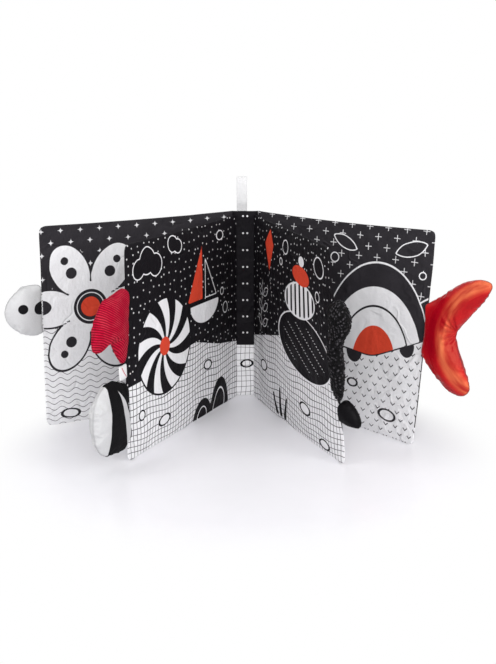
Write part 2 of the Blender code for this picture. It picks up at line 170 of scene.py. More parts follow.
class Nodes:
    """A node tree under construction; each method adds one or a few nodes and gives back an output."""

    def __init__(self, tree):
        self.tree = tree

    def put(self, socket, value):
        if isinstance(value, Value):
            self.tree.links.new(value.socket, socket)
        else:
            socket.default_value = value

    def node(self, kind, inputs, out=0, **settings):
        made = self.tree.nodes.new(kind)
        for key, value in settings.items():
            setattr(made, key, value)
        for key, value in inputs.items():
            self.put(made.inputs[key], value)
        return Value(self, made.outputs[out])

    def math(self, operation, *values):
        return self.node("ShaderNodeMath", dict(enumerate(values)), operation=operation)

    def vector(self, operation, *values, out=0):
        return self.node("ShaderNodeVectorMath", dict(enumerate(values)), out, operation=operation)

    def sine(self, value):
        return self.math("SINE", value)

    def length(self, vector):
        return self.vector("LENGTH", vector, out=1)

    def scaled(self, vector, factor):
        return self.node("ShaderNodeVectorMath", {0: vector, "Scale": factor}, operation="SCALE")

    def most(self, first, *others):
        for other in others:
            first = self.math("MAXIMUM", first, other)
        return first

    def read(self, name):
        return self.node("ShaderNodeAttribute", {}, "Vector", attribute_name=name)

    def split(self, vector):
        made = self.tree.nodes.new("ShaderNodeSeparateXYZ")
        self.put(made.inputs[0], vector)
        return [Value(self, output) for output in made.outputs]

    def join(self, x, y, z=0):
        return self.node("ShaderNodeCombineXYZ", {0: x, 1: y, 2: z})

    def noise(self, vector, scale, detail, out=0, roughness=0.5):
        inputs = {"Vector": vector, "Scale": scale, "Detail": detail, "Roughness": roughness}
        return self.node("ShaderNodeTexNoise", inputs, out)

    def ramp(self, value, low, high, to_low=0, to_high=1, smooth=True):
        inputs = {0: value, 1: low, 2: high, 3: to_low, 4: to_high}
        kind = "SMOOTHSTEP" if smooth else "LINEAR"
        return self.node("ShaderNodeMapRange", inputs, interpolation_type=kind)

    def inside(self, distance, soft=0.14):
        """1 where the distance is below nothing, with a soft edge this wide each way."""
        return self.ramp(distance, soft, -soft)

    def stroke(self, distance, width, soft=0.14):
        """1 along the line where the distance is nothing."""
        return self.inside(abs(distance) - width / 2, soft)

    def mix(self, mask, under, over):
        return self.node("ShaderNodeMix", {0: mask, 6: under, 7: over}, 2, data_type="RGBA")

    def shaded(self, colour, shade):
        return self.vector("MULTIPLY", colour, self.join(shade, shade, shade))

    def bump(self, height, distance, strength=1, normal=None):
        inputs = {"Height": height, "Distance": distance, "Strength": strength}
        if normal:
            inputs["Normal"] = normal
        return self.node("ShaderNodeBump", inputs)

    def background_rays(self):
        """1 on the rays that show what is behind the book: from the camera, mirrored or let through."""
        rays = ("Camera", "Glossy", "Transmission")
        return self.most(*(self.node("ShaderNodeLightPath", {}, f"Is {ray} Ray") for ray in rays))


class Look(Nodes):
    """A material with one shader."""

    def __init__(self, name, roughness, **sockets):
        self.material = bpy.data.materials.new(name)
        self.material.use_nodes = True
        super().__init__(self.material.node_tree)
        self.shader = self.tree.nodes["Principled BSDF"]
        self.finish(Roughness=roughness, **sockets)

    def finish(self, **sockets):
        for key, value in sockets.items():
            self.put(self.shader.inputs[key.replace("_", " ")], value)
        return self.material


def cloth_look(name, roughness, **sockets):
    """A cloth's material, and the places on its flat cloth, in millimetres."""
    look = Look(name, roughness, **sockets)
    return look, look.read("flat_place")


# The prints' repeating patterns


def cell(look, place, wide, high, shift=(0, 0)):
    """Where a point is within its cell of a lattice: millimetres from the cell's middle."""
    half = (wide / 2, high / 2, 1)
    return look.vector("WRAP", place + (*shift, 0), half, tuple(-h for h in half))


def staggered(look, place, wide, high, mark):
    """A mark on a lattice, and the same on the rows between, half a cell along."""
    return look.most(*(mark(cell(look, place, wide, high, s)) for s in ((0, 0), (wide / 2, high / 2))))


def plus_mark(look, arm, width):
    def draw(place):
        x, y, _ = look.split(abs(place))
        near = look.math("MINIMUM", x, y) - width / 2
        return look.inside(look.most(near, look.most(x, y) - arm), 0.16)
    return draw


def sparkle_mark(look, reach):
    def draw(place):
        x, y, _ = look.split(abs(place))
        total = look.math("SQRT", x) + look.math("SQRT", y)
        return look.ramp(total, math.sqrt(reach) + 0.10, math.sqrt(reach) - 0.12)
    return draw


def chevron_mark(look, arm, width):
    def draw(place):
        x, y, _ = look.split(place)
        side = abs(x)
        line = abs(side * 0.95 - (y + arm / 2)) - width * 0.7
        return look.inside(look.most(line, side - arm), 0.16)
    return draw


def scattered_dots(look, place, pitch, radius):
    """Small round dots, one to a cell, each a little off its cell's middle."""
    inputs = {"Vector": look.scaled(place, 1 / pitch), "Scale": 1, "Randomness": 0.62}
    apart = look.node("ShaderNodeTexVoronoi", inputs, "Distance", voronoi_dimensions="2D")
    return look.ramp(apart, (radius + 0.16) / pitch, (radius - 0.16) / pitch)


def paired_dots(look, place):
    """Pairs of dots up the gutter."""
    x, y, _ = look.split(cell(look, place, 400, 15.5))
    return look.inside(look.length(look.join(abs(x) - 1.9, y)) - 0.85)


def wavy_lines(look, place):
    x, y, _ = look.split(place)
    wave = look.sine(x * (math.tau / 13)) * 1.5
    _, gap, _ = look.split(cell(look, look.join(0, y + wave), 1, 5.3))
    return look.stroke(gap, 0.55, 0.16)


def ruled_grid(look, place, width):
    """A grid of thin lines, a little bent, as if drawn by hand."""
    bend = look.noise(place, 0.022, 1, out=1) - (0.5, 0.5, 0.5)
    x, y, _ = look.split(abs(cell(look, place + bend * (8, 14, 0), 4.4, 5.1)))
    return look.stroke(look.math("MINIMUM", x, y), width, 0.16)


UPPER = {
    "sparkles": lambda look, place: staggered(look, place, 17, 20, sparkle_mark(look, 3.1)),
    "dots": lambda look, place: scattered_dots(look, place, 7.6, 0.70),
    "pluses": lambda look, place: staggered(look, place, 17.2, 17.4, plus_mark(look, 3.0, 0.62)),
    "pairs": paired_dots,
}
LOWER = {
    "waves": wavy_lines,
    "grid": lambda look, place: ruled_grid(look, place, 0.60),
    "fine grid": lambda look, place: ruled_grid(look, place, 0.38),
    "chevrons": lambda look, place: staggered(look, place, 10, 12.4, chevron_mark(look, 2.2, 0.8)),
}


# Distance fields in millimetres, below nothing inside


def axes(p, x, z, turn):
    """How far the points are from (x, z), along a direction and across it."""
    c, s = math.cos(math.radians(turn)), math.sin(math.radians(turn))
    dx, dz = p[:, 0] - x, p[:, 1] - z
    return dx * c + dz * s, dz * c - dx * s


def polar(x, z, reach, turn):
    """The place this far from (x, z) in a direction."""
    return x + reach * math.cos(math.radians(turn)), z + reach * math.sin(math.radians(turn))


def disc(p, x, z, rx, rz=None, turn=0):
    rz = rz or rx
    across, up = axes(p, x, z, turn)
    return (np.hypot(across / rx, up / rz) - 1) * min(rx, rz)


def capsule(p, x0, z0, x1, z1, radius, taper=0):
    """A rounded bar from one point to another, thinner by taper at its far end."""
    run = np.array([x1 - x0, z1 - z0])
    off = p - (x0, z0)
    t = np.clip(off @ run / (run @ run), 0, 1)
    return np.linalg.norm(off - t[:, None] * run, axis=1) - radius + taper * t


def polygon(p, corners):
    """Signed distance to a closed outline."""
    ring = np.array(corners, float)
    after = np.roll(ring, -1, 0)
    best = np.full(len(p), 1e9)
    odd = np.zeros(len(p), bool)
    for a, b in zip(ring, after):
        run = b - a
        t = np.clip((p - a) @ run / max(run @ run, 1e-9), 0, 1)
        best = np.minimum(best, np.linalg.norm(p - a - t[:, None] * run, axis=1))
        crosses = (a[1] > p[:, 1]) != (b[1] > p[:, 1])
        odd ^= crosses & (p[:, 0] < run[0] * (p[:, 1] - a[1]) / (run[1] or 1e-9) + a[0])
    return np.where(odd, -best, best)


def below(p, stations):
    """Height above a smooth line through (u, z) stations, positive above it."""
    us, zs = zip(*stations)
    fine = np.linspace(us[0], us[-1], 60)
    level = np.interp(fine, us, zs)
    for _ in range(6):
        level[1:-1] = (level[:-2] + level[1:-1] * 2 + level[2:]) / 4
    return p[:, 1] - np.interp(p[:, 0], fine, level)


def discs(p, *each):
    """All of these discs as one field."""
    return union(*(disc(p, *one) for one in each))


def petals(p, x, z, count, reach, long, wide):
    """Oval petals about (x, z)."""
    turns = [360 * i / count + 2 for i in range(count)]
    return discs(p, (x, z, reach * 0.6), *((*polar(x, z, reach, t), long, wide, t) for t in turns))


def sectors(p, x, z, count, twist):
    """Every other one of count pairs of sectors about (x, z), swept round a little as they go out."""
    dx, dz = p[:, 0] - x, p[:, 1] - z
    reach = np.hypot(dx, dz)
    turn = np.arctan2(dz, dx) / math.tau * count + reach * twist / 40
    return (np.abs((turn % 1) - 0.5) - 0.25) * reach * math.tau / count


def leaf_shape(p, x, z, length, width, turn):
    """A pointed leaf: the overlap of two discs."""
    along, across = axes(p, x, z, turn)
    radius = (length**2 + width**2) / (2 * width)
    return np.hypot(along, np.abs(across) + radius - width) - radius


def union(*fields):
    return np.minimum.reduce(fields)


def curve_run(a, b, c, d, splits):
    """Points from b on towards c, along the Catmull-Rom curve through four points."""
    for j in range(splits):
        t = j / splits
        bend = (2 * a - 5 * b + 4 * c - d) * t**2 + (3 * b - a - 3 * c + d) * t**3
        yield b + ((c - a) * t + bend) / 2


def smooth_loop(points, splits):
    """Points along the closed curve through the given ones."""
    ring = [Vector(p) for p in points]
    fours = zip(ring[-1:] + ring[:-1], ring, ring[1:] + ring[:1], ring[2:] + ring[:2])
    return [p for four in fours for p in curve_run(*four, splits)]


def smooth_path(points, splits):
    """Points along the open curve through the given ones."""
    padded = [2 * Vector(points[0]) - Vector(points[1])] + [Vector(p) for p in points]
    padded.append(2 * padded[-1] - padded[-2])
    fours = zip(padded, padded[1:], padded[2:], padded[3:])
    return [tuple(p) for four in fours for p in curve_run(*four, splits)] + [tuple(padded[-2])]


# Prints. Each gives its ground line and its layers, painted in turn: (field, colour, outline width, or 0 to fill).


def lined(field, fill, line, width):
    """Two layers: the shape filled, and its outline."""
    return (field, fill, 0), (field, line, width)


def left_cover_print(p):
    """A big flower with spotted petals."""
    ground = below(p, ((0, 100), (100, 118), (182, 120)))
    flower = petals(p, 137, 103, 6, 37, 24, 16.5)
    spots = discs(p, (180.5, 106, 9, 6.4), *(
        (*polar(137, 103, reach, turn), radius)
        for turn in (62, 122, 182, 242, 302) for reach, radius in ((34, 4.8), (46, 3.4))
    ))
    pebbles = discs(p, (158, 10, 8, 4.4), (96, 16, 7, 4, 10))
    return ground, [
        *lined(flower, WHITE, BLACK, 1.5), (spots, BLACK, 0), (disc(p, 137, 103, 15), BLACK, 0),
        (disc(p, 137, 103, 8.5), PRINT_RED, 0), (disc(p, 137, 103, 12), WHITE, 0.8),
        *lined(pebbles, WHITE, BLACK, 1.4),
    ]


def left_leaf_print(p):
    """A beach ball, a little boat, clouds and hills."""
    ground = below(p, ((0, 54), (40, 62), (80, 74), (120, 66), (182, 60)))
    ball = disc(p, 126, 82, 39)
    swirl = np.maximum(ball, sectors(p, 126, 82, 9, 0.9))
    hull = np.maximum(disc(p, 62, 104, 24, 17), p[:, 1] - 104)
    sail = polygon(p, ((66, 108), (66, 154), (90, 108)))
    jib = polygon(p, ((61, 108), (61, 142), (42, 108)))
    puffs = ((138, 150, 9), (150, 155, 11), (162, 150, 8), (104, 160, 6), (112, 163, 7))
    clouds = discs(p, *puffs)
    hills = np.maximum(discs(p, (36, 0, 17, 30), (66, 0, 15, 19)), -p[:, 1])
    arcs = np.maximum(discs(p, (36, 0, 10, 20), (66, 0, 8, 11)), -p[:, 1])
    rings = discs(p, (58, 48, 6.5, 4, 8), (128, 20, 8, 4.4, -6), (160, 34, 4))
    bubbles = discs(p, (24, 92, 5), (31, 108, 3.2), (34, 158, 6, 4))
    return ground, [
        *lined(clouds, BLACK, WHITE, 0.9), (ball, WHITE, 0), (swirl, BLACK, 0), (ball, BLACK, 1.6),
        (disc(p, 126, 82, 7.5), PRINT_RED, 0), (hull, WHITE, 0), (sail, PRINT_RED, 0), (jib, WHITE, 0.9),
        (hills, BLACK, 0), (arcs, WHITE, 0.8), *lined(rings, WHITE, BLACK, 1.3), *lined(bubbles, BLACK, WHITE, 0.9),
    ]


def right_leaf_print(p):
    """A pile of striped stones, a branch, a kite and rings."""
    ground = below(p, ((0, 60), (70, 78), (100, 83), (160, 75), (182, 45)))
    base = disc(p, 118, 80, 52, 25, -6)
    lines = np.abs((((p[:, 0] * 0.5 + p[:, 1]) / 11) % 1) - 0.5) * 11
    middle = disc(p, 112, 117, 32, 15, 5)
    bars = np.maximum((np.abs(((p[:, 0] / 9) % 1) - 0.5) - 0.2) * 9, disc(p, 112, 117, 30.5, 13.5, 5))
    top = disc(p, 116, 138, 18, 8, -4)
    kite = polygon(p, ((44, 166), (54, 152), (44, 128), (34, 152)))
    stem = union(capsule(p, 20, 66, 26, 118, 0.5), capsule(p, 44, 128, 50, 104, 0.4))
    leaves = union(*(
        leaf_shape(p, 22 + side * 7 + z * 0.05, z, 7, 3.2, 90 - side * 55)
        for z in (80, 94, 108) for side in (-1, 1)
    ))
    rings = discs(p, (82, 156, 6), (156, 152, 10, 8), (72, 142, 3), (150, 128, 4))
    blades = ((60, -6, 22), (68, 0, 30), (76, 6, 24))
    tufts = union(*(capsule(p, u, 5, u + lean, tip, 2.6, 1.4) for u, lean, tip in blades))
    pebbles = discs(p, (30, 40, 8, 4.6, 6), (118, 28, 9, 4.6, -4), (150, 7, 8, 4))
    return ground, [
        *lined(base, BLACK, WHITE, 0.9), (np.maximum(lines - 0.6, disc(p, 118, 80, 42, 18, -6)), WHITE, 0),
        (middle, WHITE, 0), (bars, BLACK, 0), (top, PRINT_RED, 0), (disc(p, 118, 150, 6, 4.4), WHITE, 0),
        (kite, PRINT_RED, 0), (stem, WHITE, 0), (leaves, WHITE, 0.8), *lined(rings, BLACK, WHITE, 1),
        (tufts, BLACK, 0), *lined(pebbles, WHITE, BLACK, 1.3),
    ]


def right_cover_print(p):
    """Arches one in another on the ground line, leaves above and drops below."""
    ground = below(p, ((0, 66), (90, 70), (130, 66), (182, 88)))
    ovals = ((132, 60, 54, 84), (132, 60, 47, 64), (132, 60, 35, 48), (132, 60, 22, 32), (186, 70, 30, 52),
             (66, 60, 30, 46))
    outer, wall, ring, door, hill, small = (np.maximum(disc(p, *oval), -ground) for oval in ovals)
    leaves = union(leaf_shape(p, 160, 158, 15, 6, 20), leaf_shape(p, 98, 158, 13, 5, -24))
    drops = np.maximum(discs(p, (112, 68, 8, 10), (164, 79, 7, 8)), ground)
    pebbles = discs(p, (150, 20, 8.5, 4.6, -6), (60, 20, 8, 4.4), (112, 40, 5, 3.4))
    bubbles = discs(p, (88, 144, 4), (40, 152, 4), (172, 138, 3))
    return ground, [
        *lined(small, CHARCOAL, WHITE, 0.9), *lined(hill, CHARCOAL, WHITE, 0.9), *lined(outer, BLACK, WHITE, 1),
        (wall, WHITE, 0), (ring, BLACK, 1.3), (door, PRINT_RED, 0), *lined(leaves, BLACK, WHITE, 0.9),
        (drops, BLACK, 0), *lined(pebbles, WHITE, BLACK, 1.4), *lined(bubbles, BLACK, WHITE, 0.9),
        (ground, BLACK, 1),
    ]


def plain_print(level):
    """Only the ground line and a few pebbles and bubbles, for the faces that nobody sees first."""
    def draw(p):
        ground = below(p, ((0, level - 12), (60, level - 3), (110, level - 14), (182, level)))
        pebbles = discs(p, (40, 20, 8, 4.4, 6), (128, 30, 9, 5, -8), (90, 12, 6, 3.4))
        pebbles = np.maximum(pebbles, ground)
        bubbles = discs(p, (60, 140, 6), (74, 152, 3.4), (142, 126, 5), (120, 156, 3))
        return ground, [*lined(pebbles, WHITE, BLACK, 1.3), *lined(bubbles, BLACK, WHITE, 0.9)]
    return draw


def gutter_print(p):
    ground = p[:, 1] - 50
    return ground, [(disc(p, 1.5, 32, 5.5, 3.4, 6), BLACK, 1.3)]


Print = namedtuple("Print", "draw upper lower tone")
PRINTS = {
    "left_cover_inner": Print(left_cover_print, "sparkles", "waves", CHARCOAL),
    "left_cover_outer": Print(plain_print(120), "sparkles", "waves", CHARCOAL),
    "left_leaf_inner": Print(left_leaf_print, "dots", "grid", BLACK),
    "left_leaf_outer": Print(plain_print(60), "dots", "grid", BLACK),
    "right_leaf_inner": Print(right_leaf_print, "dots", "grid", BLACK),
    "right_leaf_outer": Print(plain_print(45), "dots", "grid", BLACK),
    "right_cover_inner": Print(right_cover_print, "pluses", "chevrons", CHARCOAL),
    "right_cover_outer": Print(plain_print(16), "pluses", "chevrons", CHARCOAL),
    "gutter": Print(gutter_print, "pairs", "fine grid", BLACK),
    "spine_back": Print(lambda p: (p[:, 1] - 56, []), "pairs", "waves", BLACK),
}


def print_fields(name, places):
    """The print's ground field and layers for these flat places in millimetres, packed three to a vector."""
    ground, layers = PRINTS[name].draw(places)
    fields = [ground] + [field for field, _, _ in layers]
    fields += [np.zeros(len(places))] * (-len(fields) % 3)
    return [np.stack(fields[i:i + 3], 1) for i in range(0, len(fields), 3)]


def print_material(name):
    """Printed cloth: ground patterns, then motifs in turn, over a fine plain weave with soft creases."""
    page_print = PRINTS[name]
    _, layers = page_print.draw(np.zeros((1, 2)))
    look, place = cloth_look(f"{name}_print", 0.6, Specular_IOR_Level=0.08)
    channels = []
    for i in range((len(layers) + 3) // 3):
        channels += look.split(look.read(f"{name}_{i}"))
    fade = look.noise(place, 0.05, 3)
    dark = look.mix(fade, *((*(c * factor for c in page_print.tone[:3]), 1) for factor in (0.8, 1.5)))
    pale = look.mix(fade, *PALE_CLOTH)
    above = look.mix(UPPER[page_print.upper](look, place), dark, WHITE_MARK)
    under = look.mix(LOWER[page_print.lower](look, place), pale, BLACK_LINE)
    colour = look.mix(look.inside(channels[0]), above, under)
    paints = {WHITE: pale, BLACK: dark, CHARCOAL: dark}
    for channel, (_, tone, width) in zip(channels[1:], layers):
        mask = look.stroke(channel, width) if width else look.inside(channel)
        colour = look.mix(mask, colour, paints.get(tone, tone))
    return cloth_finish(look, colour, place)


def cloth_finish(look, colour, place):
    """Weave, soft creases, sharp ironed ones here and there, and painted shade in the weave's dips, which leaves
    its highs paler.
    """
    x, y, _ = look.split(look.scaled(place, math.tau / WEAVE_PITCH / 2))
    over = look.sine(x) * look.sine(y)
    folds = look.noise(place, 0.055, 4, roughness=0.55)
    fine = look.noise(place * (1, 0.45, 1), 0.22, 3)
    ridge = look.ramp(abs(look.noise(place, 0.028, 2) - 0.5), 0.035, 0)
    here = look.ramp(look.noise(place + (300, 0, 0), 0.018, 1), 0.46, 0.58)
    soft = look.bump(ridge * here, IRONED_RISE, 1, look.bump(folds + fine * 0.3, CREASE_RISE))
    # painted shade: the colour is darker in the weave's dips than on its threads
    shade = look.ramp(over, -1, 1, 0.92, 1.0, smooth=False)
    rough = look.ramp(folds, 0.3, 0.7, 0.52, 0.68)
    normal = look.bump(over, WEAVE_RISE, 0.6, soft)
    return look.finish(Base_Color=look.shaded(colour, shade), Roughness=rough, Normal=normal)


# Meshes


def mesh_object(name, points, faces):
    mesh = bpy.data.meshes.new(name)
    mesh.from_pydata([tuple(map(float, p)) for p in points], [], [tuple(map(int, f)) for f in faces])
    mesh.shade_smooth()
    mesh.update()
    made = bpy.data.objects.new(name, mesh)
    bpy.context.scene.collection.objects.link(made)
    return made


def store(obj, name, values):
    """Keeps a vector for each point of the mesh."""
    found = obj.data.attributes.get(name) or obj.data.attributes.new(name, "FLOAT_VECTOR", "POINT")
    wide = np.zeros((len(obj.data.vertices), 3), np.float32)
    wide[:, :values.shape[1]] = values
    found.data.foreach_set("vector", wide.ravel())


def keep_places(obj, *columns):
    """Keeps where each point was on the flat cloth, in millimetres, for the material."""
    store(obj, "flat_place", np.stack(columns, 1) * 1000)


def stored(obj, name):
    values = np.empty(len(obj.data.vertices) * 3, np.float32)
    obj.data.attributes[name].data.foreach_get("vector", values)
    return values.reshape(-1, 3).astype(float)


def points_of(obj):
    values = np.empty(len(obj.data.vertices) * 3, np.float32)
    obj.data.vertices.foreach_get("co", values)
    return values.reshape(-1, 3).astype(float)


def set_points(obj, values):
    obj.data.vertices.foreach_set("co", np.ascontiguousarray(values, np.float32).ravel())
    obj.data.update()


def subdivide(obj, levels=1):
    """Applies a subdivision surface, so that the mesh itself is fine."""
    modifier = obj.modifiers.new("Fine", "SUBSURF")
    modifier.levels = modifier.render_levels = levels
    modifier.boundary_smooth = "PRESERVE_CORNERS"
    graph = bpy.context.evaluated_depsgraph_get()
    made = bpy.data.meshes.new_from_object(obj.evaluated_get(graph))
    obj.modifiers.remove(modifier)
    old, obj.data = obj.data, made
    bpy.data.meshes.remove(old)
    made.shade_smooth()


def face_out(obj):
    """Turns all faces of a closed skin outward."""
    bm = bmesh.new()
    bm.from_mesh(obj.data)
    bmesh.ops.recalc_face_normals(bm, faces=bm.faces[:])
    bm.to_mesh(obj.data)
    bm.free()


def inflate(obj, pinned, pressure, slack, bending, frames=20, scale=10):
    """Runs the cloth on a closed skin, enlarged so that the solver works well, and gives where its points end."""
    scene = bpy.context.scene
    start = points_of(obj)
    set_points(obj, start * scale)
    group = obj.vertex_groups.new(name="sewn")
    group.add([int(i) for i in np.flatnonzero(pinned)], 1.0, "REPLACE")
    modifier = obj.modifiers.new("Cloth", "CLOTH")
    settings = dict(
        quality=5, mass=0.25, tension_stiffness=15, compression_stiffness=15, shear_stiffness=7.5,
        bending_stiffness=bending, air_damping=3, use_pressure=True, uniform_pressure_force=pressure,
        shrink_min=-slack, vertex_group_mass="sewn",
    )
    for key, value in settings.items():
        setattr(modifier.settings, key, value)
    modifier.settings.effector_weights.gravity = 0
    modifier.collision_settings.use_collision = False
    modifier.point_cache.frame_start = 1
    modifier.point_cache.frame_end = frames
    for number in range(1, frames + 1):
        scene.frame_set(number)
    shaped = obj.evaluated_get(bpy.context.evaluated_depsgraph_get())
    ended = np.array([tuple(v.co) for v in shaped.data.vertices]) / scale
    obj.modifiers.remove(modifier)
    obj.vertex_groups.remove(group)
    scene.frame_set(1)
    set_points(obj, start)
    return ended


def wobble(points, size, seed, octaves=2):
    """Smooth noise at each point, about -1 to 1."""
    out = np.empty(len(points))
    for i, p in enumerate(points):
        out[i] = noise.fractal(Vector(p) / size + Vector((seed * 3.1, seed * 1.7, seed)), 1.0, 2.0, octaves)
    return out


def print_on(skin, names, slots):
    """Gives a skin its printed cloths, makes it finer and keeps the prints' fields on its points."""
    skin.data.polygons.foreach_set("material_index", slots.astype(np.int32))
    for name in names:
        skin.data.materials.append(print_material(name))
    subdivide(skin)
    places = stored(skin, "flat_place")[:, :2]
    for name in names:
        for i, fields in enumerate(print_fields(name, places)):
            store(skin, f"{name}_{i}", fields)


# Pages


def page_half(page, u, z):
    """Half the thickness of a page at a flat place."""
    leaf = page.height == LEAF_HEIGHT
    start = PAD_START if leaf else ROUNDING
    edge = np.minimum.reduce([u - start, PAGE_WIDTH - u, z, page.height - z])
    share = (edge - SEAM_MARGIN) / (CROWN_RUN - SEAM_MARGIN)
    half = SEWING_GAP / 2 + CLOTH + CROWN * (1 - (1 - np.clip(share, 0, 1)) ** 2)
    if leaf:
        strip = np.minimum(STRIP_HALF, FOLD_HALF + np.abs(u - FOLD_LINE) * 0.7)
        half = np.where(u < PAD_START, strip, half)
    outer = np.minimum.reduce([u + BEAD, PAGE_WIDTH - u, z, page.height - z])
    return half * np.sqrt(np.clip(outer / ROUNDING, 0, 1))


def stations(first, last, step, extra=()):
    """Grid lines from first to last, closer at both ends, with the extra ones among them."""
    count = round((last - first) / step)
    even = [first + (last - first) * i / count for i in range(1, count)]
    ends = [first, first + END_STEP, last - END_STEP, last]
    kept = [x for x in even if all(abs(x - e) > step * 0.4 for e in extra)]
    return sorted(kept + ends + list(extra))


def rounded(page, u, z):
    """The flat place with the page's outer corners rounded."""
    across = 1 - (PAGE_WIDTH - u) / CORNER_RADIUS
    up = 1 - np.minimum(z, page.height - z) / CORNER_RADIUS
    at = (across > 0) & (up > 0)
    a, b = np.clip(across, 0, 1), np.clip(up, 0, 1)
    corner_u = PAGE_WIDTH - CORNER_RADIUS * (1 - a * np.sqrt(1 - b**2 / 2))
    corner_z = CORNER_RADIUS * (1 - b * np.sqrt(1 - a**2 / 2))
    corner_z = np.where(z < page.height / 2, corner_z, page.height - corner_z)
    return np.where(at, corner_u, u), np.where(at, corner_z, z)


def on_page(page, u, w, z):
    """The world's places for flat ones on a page that doesn't swing."""
    ex, ey = page.heading
    x = page.root[0] + ex * u - page.side * ey * w
    y = page.root[1] + ey * u + page.side * ex * w
    return np.stack([x, y, z], 1)


def across_seam(page, first, last, z):
    """Two points of a page, one on each side of the line where its cloth bends."""
    return [Vector(p) for p in on_page(page, np.array([first, last]), 0, np.full(2, z))]


def page_world(page, flat):
    """The world's places for flat ones, with the page's swing and its drawn-in top."""
    u, w, z = flat.T
    along = u / PAGE_WIDTH
    w = w + page.swing * np.clip(along, 0, 2) ** 2 * (2 * z / page.height - 1)
    z = z - DRAW_IN * (z / page.height) * 4 * along * (1 - along)
    return on_page(page, u, w, z)


def two_sided_grid(us, zs):
    """A closed skin over a grid: its places, 1 for those in front and -1 behind, and the faces of each side."""
    rows, columns = len(zs), len(us)
    front = np.arange(rows * columns).reshape(rows, columns)
    back = front.copy()
    back[1:-1, 1:-1] = rows * columns + np.arange((rows - 2) * (columns - 2)).reshape(rows - 2, columns - 2)
    faces = []
    for sheet, turned in ((front, False), (back, True)):
        a, b, c, d = sheet[:-1, :-1], sheet[:-1, 1:], sheet[1:, 1:], sheet[1:, :-1]
        faces.append(np.stack([a, d, c, b] if turned else [a, b, c, d], -1).reshape(-1, 4))
    place = np.array([(u, z) for z in zs for u in us])
    inner = place[front[1:-1, 1:-1].ravel()]
    return np.concatenate([place, inner]), np.repeat([1.0, -1.0], [len(place), len(inner)]), faces


def build_page(page):
    """One padded page: a skin simulated under pressure, then kept close to its drawn shape and printed."""
    leaf = page.height == LEAF_HEIGHT
    extra = (STRIP_WIDTH - END_STEP, FOLD_LINE, PAD_START + END_STEP) if leaf else ()
    us = stations(-BEAD, PAGE_WIDTH, PAGE_STEP, extra)
    places, sign, (front, back) = two_sided_grid(us, stations(0, page.height, PAGE_STEP))
    along, high = places.T
    u, z = rounded(page, along, high)
    half = page_half(page, along, high)
    dents = wobble(np.stack([u, sign * 0.3, z], 1), 0.028, page.seed)
    start = np.stack([u, sign * half * (1 + 0.10 * dents), z], 1)
    skin = mesh_object(page.name + "_cloth", start, np.concatenate([front, back]))
    edge = np.minimum.reduce([along - (PAD_START if leaf else 0), PAGE_WIDTH - along, high, page.height - high])
    moved = inflate(skin, edge < SEWN_RIM, pressure=1.2, slack=0.035, bending=0.4) - start
    held = MOST_MOVED * np.tanh(moved / MOST_MOVED) * (np.linalg.norm(moved, axis=1) > 0)[:, None]
    shaped = start + held
    shaped[:, 1] = sign * np.maximum(sign * shaped[:, 1], half * LEAST_PLUMP)
    set_points(skin, shaped)
    keep_places(skin, u, z)
    turned_in = along[front].mean(1) > PAGE_WIDTH - END_STEP
    print_on(skin, (page.name + "_inner", page.name + "_outer"), np.concatenate([turned_in, np.ones(len(back))]))
    flat = points_of(skin)
    edge_wave(page, flat)
    set_points(skin, page_world(page, flat))
    return skin


def edge_wave(page, flat):
    """Lets the free edges ripple a little, as a sewn edge does."""
    away = np.minimum.reduce([PAGE_WIDTH - flat[:, 0], flat[:, 2], page.height - flat[:, 2]])
    close = np.exp(-np.clip(away, 0, 1) / WAVE_REACH) * np.clip(flat[:, 0] / 0.03, 0, 1)
    ripple = wobble(np.stack([flat[:, 0], flat[:, 0] * 0 + page.seed, flat[:, 2]], 1), 0.022, page.seed + 2, 1)
    flat[:, 1] += WAVE_RISE * close * ripple


# Spine


def build_spine():
    """One cushion: the printed gutter in front, the outer cloth bulging behind."""
    xs = np.linspace(-1, 1, 17)
    places, sign, (front, back) = two_sided_grid(xs, stations(0, COVER_HEIGHT, SPINE_STEP))
    behind = (1 - sign) / 2
    s, z = places.T
    rim = (np.abs(s) > 0.999) | (z < 1e-6) | (z > COVER_HEIGHT - 1e-6)
    wide = np.where(behind > 0, SPINE_BACK, SPINE_FRONT)
    ends = np.clip(np.minimum(z, COVER_HEIGHT - z) / ROUNDING, 0, 1) ** 0.5
    ripple = wobble(np.stack([s * 0.01, behind, z], 1), 0.02, 13)
    front_y = -0.0002 + 0.0006 * np.abs(s) ** 3 + 0.00025 * ripple
    back_y = 0.0030 + 0.0014 * (1 - s**2) * ends + 0.0003 * ripple
    middle = 0.0016 + 0.0022 * np.abs(s) ** 4
    y = np.where(rim, middle, np.where(behind > 0, back_y, front_y * ends + middle * (1 - ends)))
    x = s * np.where(rim, SPINE_RIM, wide)
    skin = mesh_object("spine_cushion", np.stack([x, y, z], 1), np.concatenate([front, back]))
    keep_places(skin, x, z)
    print_on(skin, ("gutter", "spine_back"), np.concatenate([np.zeros(len(front)), np.ones(len(back))]))
    return skin


# Tails, in metres. girth and outline are shares of the thickness and of the length and height.


